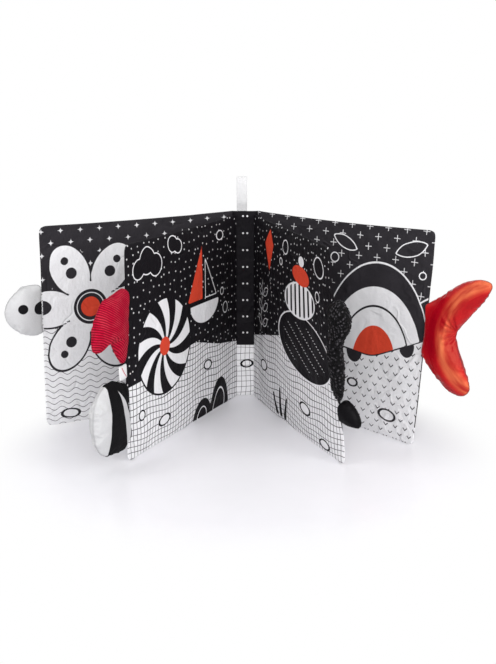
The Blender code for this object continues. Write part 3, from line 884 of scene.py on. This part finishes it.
Tail = namedtuple("Tail", "name page length height thickness foot turn overhang sway girth outline")
TAILS = (
    Tail("white_lobe", "left_cover", 0.0300, 0.0440, 0.0155, 0.0830, 0, 0.0010, 0, (1, 1), (
        (0, 0.06), (0, 0.50), (0, 0.94), (0.27, 1), (0.62, 0.91), (0.89, 0.73), (1, 0.52), (0.93, 0.32),
        (0.70, 0.14), (0.32, 0.01))),
    Tail("red_tail", "left_leaf", 0.0405, 0.0580, 0.0165, 0.0815, 0, 0.0020, 0, (0.8, 1, 1), (
        (0, 0.08), (0, 0.50), (0, 0.96), (0.14, 1), (0.34, 0.93), (0.62, 0.94), (0.80, 0.80), (0.93, 0.54),
        (1, 0.34), (0.76, 0.27), (0.44, 0.35), (0.30, 0.20), (0.12, 0.01))),
    Tail("striped_lobe", "left_leaf", 0.0420, 0.0600, 0.0165, 0.0120, 0, 0.0055, 0, (1, 1), (
        (0, 0.14), (0, 0.50), (0, 0.84), (0.24, 0.96), (0.50, 1), (0.78, 0.93), (0.94, 0.78), (1, 0.55),
        (0.96, 0.32), (0.82, 0.13), (0.54, 0.03), (0.22, 0.03))),
    Tail("black_tail", "right_leaf", 0.0255, 0.0790, 0.0190, 0.0570, 6, 0.0080, 0.0040, (
        0.45, 0.6, 0.66, 0.66, 0.58, 0.54, 0.84, 1, 1), (
        (0, 0.07), (0, 0.48), (0, 0.90), (0.30, 0.99), (0.66, 0.99), (1, 0.88), (0.88, 0.74), (0.56, 0.56),
        (0.58, 0.42), (0.66, 0.26), (0.58, 0.08), (0.36, 0), (0.12, 0.01))),
    Tail("black_fluke", "right_leaf", 0.0180, 0.0210, 0.0120, 0.0345, -22, 0.0050, 0, (1, 1), (
        (0, 0.22), (0, 0.62), (0.10, 0.96), (0.34, 1), (0.64, 0.80), (0.90, 0.47), (1, 0.20), (0.92, 0.03),
        (0.58, 0), (0.22, 0.03))),
    Tail("crescent_tail", "right_cover", 0.0530, 0.0930, 0.0180, 0.0500, 0, 0.0004, 0, (1, 1), (
        (0, 0.30), (0, 0.51), (0, 0.72), (0.20, 0.82), (0.50, 0.95), (0.82, 1), (0.98, 0.96), (0.88, 0.83),
        (0.67, 0.67), (0.50, 0.53), (0.53, 0.41), (0.69, 0.23), (0.81, 0.09), (0.74, 0.01), (0.55, 0),
        (0.30, 0.08), (0.12, 0.19))),
)


def run_lengths(path):
    """How far along the path each of its points lies."""
    return np.concatenate([[0], np.cumsum(np.linalg.norm(np.diff(path, axis=0), axis=1))])


def even_loop(loop, step):
    """The loop's points at even steps."""
    ring = np.vstack([loop, loop[:1]])
    gone = run_lengths(ring)
    count = max(12, round(gone[-1] / step))
    at = np.linspace(0, gone[-1], count, endpoint=False)
    return np.stack([np.interp(at, gone, ring[:, k]) for k in (0, 1)], 1)


def cut_pattern(loop, step):
    """Points and triangles of a flat piece cut to the loop, whose own points come first."""
    low, high = loop.min(0), loop.max(0)
    rows = []
    for j, z in enumerate(np.arange(low[1], high[1], step * 0.866)):
        xs = np.arange(low[0] + (j % 2) * step / 2, high[0], step)
        rows.append(np.stack([xs, np.full(len(xs), z)], 1))
    inner = np.concatenate(rows)
    inner = inner[polygon(inner, loop) < -step * 0.6]
    seam = [(i, (i + 1) % len(loop)) for i in range(len(loop))]
    points, _, faces, *_ = delaunay_2d_cdt([Vector(v) for v in np.vstack([loop, inner])], seam, [], 1, 1e-7)
    return np.array([tuple(v) for v in points]), np.array(faces)


def pillow_skin(name, loop, step, height):
    """Two layers of one pattern, sewn along the loop: flat points (x, w, z) and faces."""
    flat, triangles = cut_pattern(loop, step)
    depth = np.maximum(-polygon(flat, loop), 0)
    rim = depth < 1e-6
    lift = height * np.sqrt(np.clip(depth / depth.max(), 0, 1))
    inner = np.flatnonzero(~rim)
    second = np.arange(len(flat))
    second[inner] = len(flat) + np.arange(len(inner))
    points = np.concatenate([
        np.stack([flat[:, 0], lift, flat[:, 1]], 1),
        np.stack([flat[inner, 0], -lift[inner], flat[inner, 1]], 1),
    ])
    skin = mesh_object(name, points, np.concatenate([triangles[:, ::-1], second[triangles]]))
    return skin, len(loop)


def tail_flat(tail):
    """The tail's skin after it is stuffed, in its own flat frame: x out, w through, z up from its foot."""
    share = np.array([tuple(p) for p in smooth_loop(tail.outline, 6)])
    seam = even_loop(np.clip(share, (0, -1), (2, 2)) * (tail.length, tail.height), TAIL_STEP)
    pattern = seam
    for attempt in range(2):
        skin, around = pillow_skin(tail.name + "_cloth", pattern, TAIL_STEP, tail.thickness * TAIL_LIFT)
        root = points_of(skin)[:, 0] < SEWN_ROOT
        root[around:] = False
        ended = inflate(skin, root, pressure=6, slack=0.015, bending=0.3, frames=22, scale=15)
        edge = ended[:around][:, [0, 2]]
        if attempt:
            break
        pattern = seam + (pattern - edge)
        bpy.data.objects.remove(skin, do_unlink=True)
    ended[:, [0, 2]] += spread(seam - edge, edge, ended[:, [0, 2]])
    half = np.abs(ended[:, 1]).max()
    rows = np.linspace(0, 1, len(tail.girth))
    girth = np.interp(np.clip(ended[:, 2] / tail.height, 0, 1), rows, tail.girth)
    ended[:, 1] *= tail.thickness / 2 / half * 1.03 * girth / max(tail.girth)
    keep_places(skin, ended[:, 0], ended[:, 2], ended[:, 1])
    return skin, ended


def spread(moves, places, points):
    """Each point's share of the moves at the given places, the nearest counting most."""
    away = np.linalg.norm(points[:, None, :] - places[None, :, :], axis=2)
    weight = 1 / (away**3 + 1e-12)
    return (weight @ moves) / weight.sum(1)[:, None]


def overhang(tail, flat):
    """Lets the stuffed root swell back over both faces of the page that it is sewn into."""
    x, w, z = flat.T
    half = tail.thickness / 2
    near = np.clip(1 - x / SWELL_REACH, 0, 1) ** 1.4
    full = np.clip(np.abs(w) / half, 0, 1)
    w = np.sign(w) * half * full ** (1 - 0.35 * near)
    body = np.clip((0.76 - z / tail.height) / 0.22, 0, 1) * np.clip(x / 0.008, 0, 1)
    w = w + tail.sway * body * body * (3 - 2 * body)
    proud = np.clip((np.abs(w) - 0.0018) / 0.0045, 0, 1)
    return np.stack([x - tail.overhang * near * proud * proud * (3 - 2 * proud), w, z], 1)


def tail_world(tail, flat):
    """A tail's flat points set at its page's edge, which leans with the page's swing."""
    page = PAGES[tail.page]
    x, w, z = flat.T
    along = np.array([page.heading[0], page.heading[1], 0])
    through = np.array([-page.heading[1], page.heading[0], 0]) * page.side
    lean = np.array([0, 0, 1]) + through * 2 * page.swing / page.height
    lean /= np.linalg.norm(lean)
    aside = np.cross(lean, along)
    turn = page.side * math.radians(tail.turn)
    out, off = x + TAIL_OUT - TAIL_TUCK * (1 - np.clip(x / TUCK_REACH, 0, 1)), w * page.side
    out, off = out * math.cos(turn) - off * math.sin(turn), out * math.sin(turn) + off * math.cos(turn)
    root = np.array([*page.root, 0]) + along * PAGE_WIDTH + np.array([0, 0, tail.foot])
    root = root + through * page.swing * (2 * tail.foot / page.height - 1)
    return root + out[:, None] * along + off[:, None] * aside + z[:, None] * lean


# The tails' and tapes' cloths


def blend_of(look, value, low, high):
    return look.mix(value, (*low, 1), (*high, 1))


def seam_line(look, place):
    """1 away from the tail's seam, 0 in it."""
    _, _, through = look.split(place)
    return look.ramp(abs(through), 0.15, 1.1)


# Darkens a colour where the tail's seam runs, down to the given shade: painted shade in the seam's crease.
def painted_seam_shade(look, place, colour, shade=0.45):
    return look.shaded(colour, look.ramp(seam_line(look, place), 0, 1, shade, 1, smooth=False))


def white_cloth():
    look, place = cloth_look("white_plush", 0.85, Specular_IOR_Level=0.15)
    colour = blend_of(look, look.noise(place, 0.10, 4), (0.58, 0.58, 0.59), (0.67, 0.67, 0.675))
    for x, z, radius in ((1.2, 24.5, 5.8), (16.2, 26, 4.0)):
        off = look.length((place - (x, z, 0)) * (1, 1, 0))
        colour = look.mix(look.inside(off - radius), colour, SPOT_BLACK)
    return pile_finish(look, colour, place)


def pile_finish(look, colour, place):
    """Short soft pile over creases, with painted shade in the pile's dips and along the seam."""
    pile = look.noise(place, 1.4, 4, roughness=0.75)
    folds = look.noise(place, 0.09, 3)
    soft = look.bump(seam_line(look, place), 0.0005, 0.8, look.bump(folds, 0.0004))
    # painted shade: the colour is darker where the pile is low
    painted_pile_shade = look.ramp(pile, 0.25, 0.75, 0.88, 1, smooth=False)
    shaded = look.shaded(painted_seam_shade(look, place, colour, 0.86), painted_pile_shade)
    return look.finish(Base_Color=shaded, Normal=look.bump(pile, 0.0003, 0.9, soft))


def corduroy():
    """Ribs that sweep round, steeper near the page, with painted shade in the valleys between the ribs and a
    painted sheen in pinker patches on the ribs.
    """
    sheen = dict(Sheen_Weight=0.12, Sheen_Roughness=0.3, Sheen_Tint=(1, 0.30, 0.32, 1))
    look, place = cloth_look("red_corduroy", 0.85, **sheen, Specular_IOR_Level=0.08)
    x, z, _ = look.split(place)
    line = z * 0.90 - x * (1.05 - x * 0.0105) + look.noise(place, 0.08, 2) * 2.4
    height = look.ramp(look.sine(line * (math.tau / 1.7)), -1, 1)
    fuzz = look.noise(place, 2.2, 3, roughness=0.7)
    # painted sheen: the ribs' upper colour turns paler and pinker in patches
    painted_sheen_patches = look.ramp(look.noise(place, 0.13, 3), 0.35, 0.7)
    # painted shade: the valleys between the ribs get a far darker red than the ribs' crests
    painted_rib_shade_mask = height * look.ramp(fuzz, 0.2, 0.8, 0.75, 1.1, smooth=False)
    tops = blend_of(look, painted_sheen_patches, (0.50, 0.004, 0.034), (0.58, 0.030, 0.060))
    ribs = look.mix(painted_rib_shade_mask, (0.19, 0.0008, 0.011, 1), tops)
    soft = look.bump(seam_line(look, place), 0.0002, 0.8, look.bump(look.noise(place, 0.12, 3), 0.0008))
    normal = look.bump(height + fuzz * 0.35, 0.00024, 1, soft)
    return look.finish(Base_Color=painted_seam_shade(look, place, ribs, 0.9), Normal=normal)


def banded_cloth():
    """White at the tip, a broad black band, and a pale sliver that tapers near the page."""
    look, place = cloth_look("striped_cloth", 0.85, Specular_IOR_Level=0.12)
    x, z, _ = look.split(place)
    pale = blend_of(look, look.noise(place, 0.10, 4), (0.53, 0.53, 0.54), (0.62, 0.62, 0.625))
    from_foot = z - 30
    black = look.ramp(x + from_foot * from_foot * 0.0020, 29.2, 28.9)
    up = look.most(z - 18, 0)
    share = (z - 28) / 25
    off = abs(x - (7.0 + up * up * 0.0078))
    sliver = look.ramp(off - (1 - share * share) * 3.0, 0.15, -0.15)
    return pile_finish(look, look.mix(black * (1 - sliver), pale, BAND_BLACK), place)


def knobbly_knit():
    """Shiny looped yarn, with painted highlights on the knobs' crowns and painted shade in the gaps between the
    knobs.
    """
    look, place = cloth_look("black_knit", 0.6, Specular_IOR_Level=0.10)
    knob, _, _ = look.split(look.read("knob"))
    yarn = look.noise(place, 2.6, 3, roughness=0.7)
    # painted highlight: the knobs' crowns are painted a pale grey
    tops = look.ramp(knob * look.ramp(yarn, 0.3, 0.6, 0.6, 1.1, smooth=False), 0.50, 0.95)
    # painted shade: the colour goes near black in the gaps between the knobs
    dark = blend_of(look, knob, (0.0003, 0.0002, 0.0005), (0.0055, 0.0048, 0.0062))
    colour = look.mix(tops, dark, (0.075, 0.070, 0.077, 1))
    return look.finish(Base_Color=painted_seam_shade(look, place, colour), Normal=look.bump(knob + yarn * 0.5, 0.0004, 0.9))


def red_satin():
    """Deep red warp, painted darker and paler along its folds, and a painted orange highlight in a band along the
    folds, which run round a point beside the crescent's notch.
    """
    look, place = cloth_look("red_satin", 0.3, IOR=1.5, Specular_Tint=(1, 0.36, 0.2, 1))
    from_notch = place * (1, 1, 0) - (64, 47, 0)
    x, z, _ = look.split(from_notch)
    _, _, through = look.split(place)
    reach = look.length(from_notch)
    round_notch = look.join(reach, look.math("ARCTAN2", z, x * -1) * 9, through * 0.5)
    streaks = look.noise(round_notch, 0.13, 3, roughness=0.4)
    # painted highlight: an orange band along the folds, broken up by the streaks
    sheen = look.ramp(abs(reach - 46), 7.5, 0) * look.ramp(streaks, 0.30, 0.62)
    # painted shade and light of the folds: the red runs darker and paler with the streaks that also raise the folds
    warp = blend_of(look, look.ramp(streaks, 0.3, 0.7), (0.33, 0.0012, 0.009), (0.52, 0.009, 0.014))
    colour = look.mix(sheen, warp, (0.72, 0.19, 0.075, 1))
    return satin_finish(look, colour, place, 0.24, 0.38, streaks, 0.0010)


def black_satin():
    look, place = cloth_look("black_satin", 0.5, Specular_IOR_Level=0.07)
    folds = look.noise(place, 0.11, 3, roughness=0.45)
    colour = blend_of(look, folds, (0.0016, 0.0013, 0.0020), (0.0038, 0.0032, 0.0042))
    return satin_finish(look, colour, place, 0.45, 0.6, folds, 0.0012)


def satin_finish(look, colour, place, smooth, dull, folds, depth):
    """Close warp threads with a shine, over soft creases."""
    threads = look.noise(place * (1, 0.16, 1), 3.2, 2)
    soft = look.bump(seam_line(look, place), 0.0005, 0.8, look.bump(folds, depth))
    rough = look.ramp(folds, 0.3, 0.7, smooth, dull)
    shaded = painted_seam_shade(look, place, colour)
    return look.finish(Base_Color=shaded, Roughness=rough, Normal=look.bump(threads, 0.00003, 0.5, soft))


def tape_material(name="white_tape", colour=(0.78, 0.78, 0.79), band=None):
    """Woven tape, with a grey band between two heights if they are given."""
    look, place = cloth_look(name, 0.5, Sheen_Weight=0.3)
    x, z, _ = look.split(look.scaled(place, math.tau / 0.5))
    weave = look.sine(x) * look.sine(z)
    tone = blend_of(look, look.noise(place, 0.3, 3), [c * 0.92 for c in colour], colour)
    if band:
        _, up, _ = look.split(place)
        low, high = band
        grey = look.ramp(up, low, low + 1.5) * look.ramp(up, high + 1.5, high)
        tone = look.mix(grey, tone, (0.28, 0.28, 0.285, 1))
    return look.finish(Base_Color=tone, Normal=look.bump(weave, 0.00004, 0.6))


TAIL_CLOTHS = {
    "white_lobe": (white_cloth, "white_plush"),
    "red_tail": (corduroy, "red_corduroy"),
    "striped_lobe": (banded_cloth, "striped_cloth"),
    "black_tail": (knobbly_knit, "black_knit"),
    "black_fluke": (black_satin, "black_satin"),
    "crescent_tail": (red_satin, "red_satin"),
}


# The tails' skins


def pucker(tail, flat):
    """Gathers and drag lines that the stuffing leaves in a tail's skin."""
    x, w, z = flat.T
    full = np.clip(np.abs(w) / (tail.thickness / 2), 0, 1)
    ripple = wobble(flat, 0.011, 21) * 0.00035
    if tail.name == "crescent_tail":
        dx, dz = x - CRESCENT_NOTCH[0], z - CRESCENT_NOTCH[1]
        away = np.hypot(dx, dz)
        angle = np.arctan2(dz, dx)
        rays = np.sin(angle * 11 + 1.7 * np.sin(angle * 3)) * np.exp(-((away - 0.006) / 0.0055) ** 2)
        rays += 0.5 * np.sin(angle * 5 + 0.8) * np.exp(-((away - 0.014) / 0.012) ** 2)
        gather = np.exp(-(away / 0.0055) ** 2) * 0.0030
        w = w - np.sign(w) * gather * full + np.sign(w) * rays * 0.0007
    flat[:, 1] = w + np.sign(w) * ripple * np.sqrt(full)
    return flat


def knobs(skin, flat, tail):
    """Knobs of looped yarn with gaps between them, and none on the strip along the page's edge."""
    heights = np.empty(len(flat))
    for i, p in enumerate(flat):
        near = noise.voronoi(Vector(p) / KNOB_PITCH + Vector((5, 9, 2)))[0]
        heights[i] = min(max(1.3 - near[0] * 1.9, 0), 1)
    bare = np.clip((flat[:, 0] - BARE_STRIP - 0.003 * flat[:, 2] / tail.height) / 0.002, 0, 1)
    raised = heights * bare
    normals = np.empty(len(flat) * 3, np.float32)
    skin.data.vertices.foreach_get("normal", normals)
    store(skin, "knob", raised[:, None])
    return flat + normals.reshape(-1, 3) * (raised[:, None] - 0.5) * KNOB_RISE


def build_tail(tail):
    skin, flat = tail_flat(tail)
    set_points(skin, flat)
    make_cloth, _ = TAIL_CLOTHS[tail.name]
    skin.data.materials.append(make_cloth())
    knitted = tail.name == "black_tail"
    subdivide(skin, 2 if knitted else 1)
    flat = pucker(tail, points_of(skin))
    set_points(skin, flat)
    if knitted:
        flat = knobs(skin, flat, tail)
    set_points(skin, tail_world(tail, overhang(tail, flat)))
    face_out(skin)
    return skin


# Ribbon, label and thread


def ribbon_strip(name, path, width, thickness, columns, wave=0.0):
    """A woven ribbon along a path of (y, z) points, as wide as x runs, with its two faces."""
    path = np.array(path)
    step = np.gradient(path, axis=0)
    step /= np.linalg.norm(step, axis=1)[:, None]
    normal = np.stack([step[:, 1], -step[:, 0]], 1)
    count = len(path)
    rows = []
    for face in (1, -1):
        for s in np.linspace(-1, 1, columns):
            edge = 1 - 0.6 * (abs(s) > 0.99)
            lift = normal * face * thickness / 2 * edge
            lift = lift + normal * wave * math.sin(3 * s + 1)
            rows.append(np.column_stack([np.full(count, s * width / 2), path + lift]))
    ring = list(range(columns)) + list(range(2 * columns - 1, columns - 1, -1))
    faces = []
    for a, b in zip(ring, ring[1:] + ring[:1]):
        for k in range(count - 1):
            faces.append((a * count + k, b * count + k, b * count + k + 1, a * count + k + 1))
    for k in (0, count - 1):
        for j in range(columns - 1):
            quad = [i * count + k for i in (j, j + 1, columns + j + 1, columns + j)]
            faces.append(tuple(quad if k else quad[::-1]))
    gone = run_lengths(path)
    made = mesh_object(name, np.concatenate(rows), faces)
    across = np.repeat(np.tile(np.linspace(-width / 2, width / 2, columns), 2), count)
    keep_places(made, across, np.tile(gone, 2 * columns))
    face_out(made)
    return made


def build_ribbon():
    """The hanging loop, folded double into a teardrop."""
    low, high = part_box("ribbon_loop")
    shares = ((0.14, 0), (0.42, 0.11), (0.86, 0.25), (1, 0.42), (1, 0.58), (0.88, 0.75), (0.56, 0.92), (0, 1))
    centre, middle = (low.x + high.x) / 2, (low.y + high.y) / 2
    eye = (high.y - low.y) / 2 - 0.0004
    tall = high.z - low.z - 0.0006
    side = [(middle + eye * s, low.z - 0.0008 + tall * up) for s, up in shares]
    loop = side + [(2 * middle - y, z) for y, z in reversed(side[:-1])]
    ribbon = ribbon_strip("ribbon", smooth_path(loop, 4), high.x - low.x, RIBBON_THICKNESS, 9, 0.00025)
    set_points(ribbon, points_of(ribbon) + (centre, 0, 0))
    ribbon.data.materials.append(tape_material("white_ribbon", (0.64, 0.64, 0.645), (0, 7)))
    subdivide(ribbon)
    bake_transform(ribbon)
    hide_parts("ribbon_loop")


def build_label():
    """A blank label folded in two, with the thread that holds it."""
    page = PAGES["left_leaf"]
    middle = LABEL_FOOT + LABEL_HEIGHT / 2
    turns = np.linspace(math.pi / 2, -math.pi / 2, 7)
    bend = [(LABEL_DEPTH + LABEL_BEND * math.cos(a), LABEL_BEND * math.sin(a)) for a in turns]
    side = [(-0.001, 0.0005), (0.003, 0.0006), (0.006, 0.00055)]
    path = side + bend + [(out, -off) for out, off in reversed(side)]
    label = ribbon_strip("label_tape", smooth_path(path, 2), LABEL_HEIGHT, LABEL_THICKNESS, 7)
    swing = page.swing * (2 * middle / page.height - 1)

    def placed(points):
        up, out, off = points.T
        return on_page(page, PAGE_WIDTH + out, swing + off, middle + up)

    points = points_of(label)
    points[:, 0] -= 0.0006 * np.sin(points[:, 1] / LABEL_DEPTH * 2) * (points[:, 1] > 0)
    set_points(label, placed(points))
    label.data.materials.append(tape_material())
    subdivide(label)
    seam = [Vector(p) for p in placed(np.array([(0, -0.0004, 0), (0, 0.0026, 0)]))]
    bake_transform(label)
    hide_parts("label")
    line = [
        (-0.0042, 0.0006, 0.0009), (-0.0015, 0.0030, 0.0011), (0.0012, 0.0046, 0.0010), (0.0040, 0.0062, 0.0010),
    ]
    look = Look("red_thread", 0.6)
    twist = look.noise(look.node("ShaderNodeTexCoord", {}, "Object"), 2600, 2)
    look.finish(Base_Color=blend_of(look, twist, (0.35, 0.004, 0.02), (0.70, 0.02, 0.05)))
    thread = round_thread("label_thread", placed(np.array(smooth_path(line, 5))), THREAD_RADIUS, look.material)
    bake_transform(thread)


def round_thread(name, path, radius, material):
    """A closed tube along a path, as a mesh, because a curve can't bend between two bodies."""
    curve = bpy.data.curves.new(name, "CURVE")
    curve.dimensions = "3D"
    curve.bevel_depth = radius
    curve.bevel_resolution = 3
    curve.use_fill_caps = True
    spline = curve.splines.new("POLY")
    spline.points.add(len(path) - 1)
    for point, place in zip(spline.points, path):
        point.co = (*place, 1)
    core = bpy.data.objects.new(name + "_core", curve)
    bpy.context.scene.collection.objects.link(core)
    mesh = bpy.data.meshes.new_from_object(core.evaluated_get(bpy.context.evaluated_depsgraph_get()))
    bpy.data.objects.remove(core, do_unlink=True)
    mesh.materials.clear()
    mesh.materials.append(material)
    thread = bpy.data.objects.new(name, mesh)
    bpy.context.scene.collection.objects.link(thread)
    return thread


# Which solids each piece stands for, and the bodies that the covers and the spine ride on


def dress_pages():
    for name, page in PAGES.items():
        cloth = build_page(page)
        layers = [f"{name}_{layer}" for layer in ("inner_cloth", "outer_cloth", "wadding", "crinkle_film")]
        if page.height == COVER_HEIGHT:
            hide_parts(f"{name}_fold", *layers)
            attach(cloth, name)
            continue
        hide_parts(f"{name}_binding_strip", *layers)
        seam = across_seam(page, *LEAF_SEAM, page.height / 2)
        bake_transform(cloth)


def dress_spine():
    cushion = build_spine()
    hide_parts("gutter_panel", "spine_outer_cloth", "spine_wadding")
    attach(cushion, "spine")


def dress_tails():
    for tail in TAILS:
        skin = build_tail(tail)
        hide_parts(*(f"{tail.name}_{layer}" for layer in ("inner_cloth", "outer_cloth", "stuffing")))
        back, forth = SEAM_REACH
        seam = across_seam(PAGES[tail.page], PAGE_WIDTH - back, PAGE_WIDTH + forth, tail.foot)
        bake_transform(skin)


# Studio

BOOK_MIDDLE = (0, -0.08, 0.08)


def area_light(name, place, size, power):
    """A round lamp that shines on the middle of the book."""
    lamp = bpy.data.lights.new(name, "AREA")
    lamp.shape = "DISK"
    lamp.size = size
    lamp.energy = power
    made = bpy.data.objects.new(name, lamp)
    made.location = place
    made.rotation_euler = (Vector(BOOK_MIDDLE) - Vector(place)).to_track_quat("-Z", "Y").to_euler()
    bpy.context.scene.collection.objects.link(made)


def white_room(scene):
    """A world that lights softly and looks plain white."""
    scene.world = bpy.data.worlds.new("white_room")
    scene.world.use_nodes = True
    room = Nodes(scene.world.node_tree)
    lit, seen = (
        room.node("ShaderNodeBackground", {"Color": (1, 1, 1, 1), "Strength": strength}) for strength in (0.46, 1)
    )
    shown = room.node("ShaderNodeMixShader", {0: room.background_rays(), 1: lit, 2: seen})
    room.put(room.tree.nodes["World Output"].inputs[0], shown)


def pale_floor():
    """A floor that takes the book's shadow and fades out to the white room."""
    floor = mesh_object("floor", [(-2, -2, 0), (2, -2, 0), (2, 2, 0), (-2, 2, 0)], [(0, 1, 2, 3)])
    floor.location.z = -0.0004
    look = Look("pale_floor", 0.22, Specular_IOR_Level=0.25)
    place = look.node("ShaderNodeTexCoord", {}, "Object")
    look.finish(Base_Color=blend_of(look, look.noise(place, 60, 2), (0.87, 0.865, 0.90), (0.89, 0.885, 0.92)))
    off = (place - (0, -0.13, 0)) * (1 / 0.17, 1 / 0.15, 0)
    far = look.ramp(look.length(off), 0.85, 1.25)
    white = look.node("ShaderNodeEmission", {"Color": (1, 1, 1, 1)})
    mask = far * look.background_rays()
    shown = look.node("ShaderNodeMixShader", {0: mask, 1: Value(look, look.shader.outputs[0]), 2: white})
    look.put(look.tree.nodes["Material Output"].inputs[0], shown)
    floor.data.materials.append(look.material)


def studio():
    scene = bpy.context.scene
    scene.view_settings.view_transform = "Standard"
    white_room(scene)
    pale_floor()
    area_light("front", (0.1, -1.5, 0.75), 1.2, 16)
    area_light("left", (-0.9, -0.6, 0.9), 0.7, 3.6)
    area_light("right", (0.9, -0.8, 0.6), 0.7, 5)
    area_light("top", (0.0, 0.1, 1.4), 1.0, 2.5)
    camera = bpy.data.cameras.new("camera")
    camera.lens = 50.62
    camera.sensor_width = 36
    eye = bpy.data.objects.new("camera", camera)
    eye.location = (0.00258, -0.8383, 0.2877)
    eye.rotation_euler = (math.radians(74.96), 0, 0)
    scene.collection.objects.link(eye)
    scene.camera = eye


studio()
dress_pages()
dress_spine()
dress_tails()
build_ribbon()
build_label()
